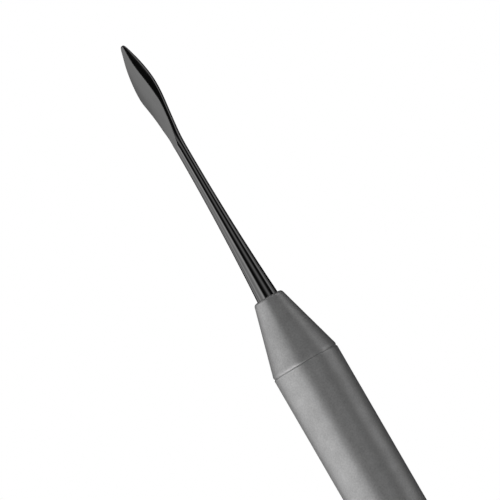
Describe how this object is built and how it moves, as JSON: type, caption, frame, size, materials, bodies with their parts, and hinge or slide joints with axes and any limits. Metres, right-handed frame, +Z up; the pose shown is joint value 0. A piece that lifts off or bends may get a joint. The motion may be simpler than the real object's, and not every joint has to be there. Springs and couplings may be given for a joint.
{
  "type": "dental elevator",
  "caption": "Straight dental elevator with a pointed leaf blade, a flared round shank, a conical nose and a hollow round handle.",
  "frame": {"origin": "on the surface the instrument rests on, below the middle of its length", "axes": "+X along the instrument towards the blade's tip, +Z up and out of the blade's working face"},
  "size_m": [0.16, 0.012, 0.012],
  "materials": {
    "coated_steel": "polished black hard coating",
    "satin_steel": "fine bead-blasted satin",
    "pin_steel": "ground",
    "seal_rubber": "moulded"
  },
  "bodies": {
    "root": {"working_end": "coated_steel", "nose_cone": "satin_steel", "tang_pin": "pin_steel", "front_seal": "seal_rubber", "handle_tube": "satin_steel", "rear_seal": "seal_rubber", "end_cap": "satin_steel"}
  },
  "joints": []
}
